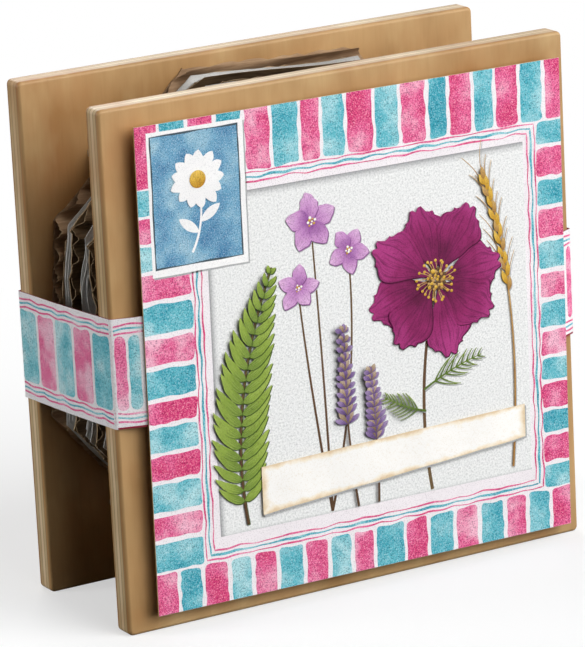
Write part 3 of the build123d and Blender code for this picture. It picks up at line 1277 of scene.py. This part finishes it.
paper_colours = {
    "wine": ("petal_edge", (74, 12, 48), (50, 6, 30)),
    "plum": ("lilac_edge", (138, 84, 142), (100, 56, 104)),
    "moss": ("leaf_edge", (70, 92, 32), (48, 64, 20)),
    "white": ("white_paint", (248, 247, 246), (200, 200, 204)),
    "slate": ("slate_line", (70, 84, 92), (50, 60, 66)),
    "shade": ("printed_shade", (178, 179, 179), (110, 110, 112), 0.6),
}
card_looks = {
    "pink": ink("pink_ink", (216, 52, 116), (228, 92, 146), (242, 176, 200)),
    "teal": ink("teal_ink", (44, 160, 180), (92, 186, 200), (168, 218, 224)),
    "blue": ink("blue_paint", (62, 126, 168), (104, 162, 194), (158, 198, 214)),
    "panel": panel_look(),
    "cream": strip_look(),
}
card_looks.update({colour: petal_look(*values) for colour, values in petal_colours.items()})
card_looks.update({colour: paper(*values) for colour, values in paper_colours.items()})
card_print.pieces("card_print", "printed_card", card_looks)


# Floor, light and camera

def floor(half=2.5):
    """A pale floor that fades into the white background, keeps the shadow and throws little light back."""
    mesh = bpy.data.meshes.new("floor")
    corners = [(-half, -half, 0), (half, -half, 0), (half, half, 0), (-half, half, 0)]
    mesh.from_pydata(corners, [], [(0, 1, 2, 3)])
    look = Look("pale_floor", roughness=0.9, gloss=0.0)
    pale = look.ramp(look.noise(3.0, 2.0), [(0.0, (243, 244, 244)), (1.0, (248, 249, 249))])
    seen = look.node("LightPath")
    distance = look.node("VectorMath", [look.node("TexCoord", out="Object")], out=1, operation="LENGTH")
    fade = look.math("MULTIPLY", look.fit(distance, 0.12, 0.4, 0.55, 1.0), seen)
    glow = look.node("Emission", {"Color": linear(WHITE)})
    blend = look.node("MixShader", [fade, look.shader.outputs[0], glow])
    look.feed(look.tree.nodes["Material Output"].inputs["Surface"], blend)
    mesh.materials.append(look.done(look.mix(seen, (50, 50, 50), pale)))
    plane = add_object("floor", mesh)
    plane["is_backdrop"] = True


def world_light(weakest, strongest):
    """White to the camera and to metal, and elsewhere a soft fill, strongest from behind, above and right."""
    world = bpy.data.worlds.new("studio")
    bpy.context.scene.world = world
    world.use_nodes = True
    sky = Nodes(world.node_tree)
    sky.tree.nodes.clear()
    rays = sky.node("LightPath").node.outputs
    seen = sky.math("MAXIMUM", rays["Is Camera Ray"], rays["Is Glossy Ray"])
    toward = [sky.node("TexCoord", out="Generated"), (0.55, 0.35, 0.75)]
    facing = sky.node("VectorMath", toward, out="Value", operation="DOT_PRODUCT")
    strength = sky.fit(facing, -0.4, 1.0, weakest, strongest)
    fill = sky.node("Background", {"Color": linear(WHITE), "Strength": strength})
    white = sky.node("Background", {"Color": linear(WHITE)})
    output = sky.tree.nodes.new("ShaderNodeOutputWorld")
    sky.feed(output.inputs[0], sky.node("MixShader", [seen, fill, white]))


def direction(bearing, climb):
    """The way out from the press at degrees right of the front and above the floor."""
    bearing, climb = radians(bearing), radians(climb)
    level = cos(climb)
    return Vector((level * sin(bearing), -level * cos(bearing), sin(climb)))


def soft_light(name, bearing, climb, distance, size, power):
    """A square soft box aimed at the press."""
    aim = Vector((0, 0, middle_height * MM))
    toward = direction(bearing, climb)
    data = bpy.data.lights.new(name, "AREA")
    data.size = size
    data.energy = power
    lamp = add_object(name, data)
    lamp.location = aim + toward * distance
    lamp.rotation_euler = (-toward).to_track_quat("-Z", "Y").to_euler()


def photo_camera():
    """The camera at the photograph's angle, from its bearing, height and roll about the press."""
    forward = -direction(-29.54, 15.47)
    roll = radians(-2.93)
    aim = Vector((-9.1, front_low[1] + 22.05, 89.3)) * MM
    distance = 1.5
    across = forward.cross(Vector((0, 0, 1))).normalized()
    right = across * cos(roll) + across.cross(forward) * sin(roll)
    data = bpy.data.cameras.new("camera")
    data.lens = 244.5
    data.sensor_width = 36.0
    camera = add_object("camera", data)
    turn = Matrix((right, right.cross(forward), -forward)).transposed().to_4x4()
    camera.matrix_world = Matrix.Translation(aim - forward * distance) @ turn
    bpy.context.scene.camera = camera


floor()
world_light(0.0, 0.15)
soft_light("key", 40.0, 18.0, 2.2, 1.8, 40.0)
soft_light("front", 4.0, 26.0, 2.2, 1.4, 17.0)
soft_light("top", 25.0, 48.0, 2.0, 1.2, 17.0)
soft_light("side", -114.0, 12.0, 1.7, 0.6, 16.0)
soft_light("back", 165.0, 35.0, 2.0, 1.0, 16.0)
photo_camera()
bpy.context.scene.view_settings.view_transform = "Standard"

boxes = {"cad": cad_box, "visual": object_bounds()}
{key: [[float(c) for c in corner] for corner in box] for key, box in boxes.items()}
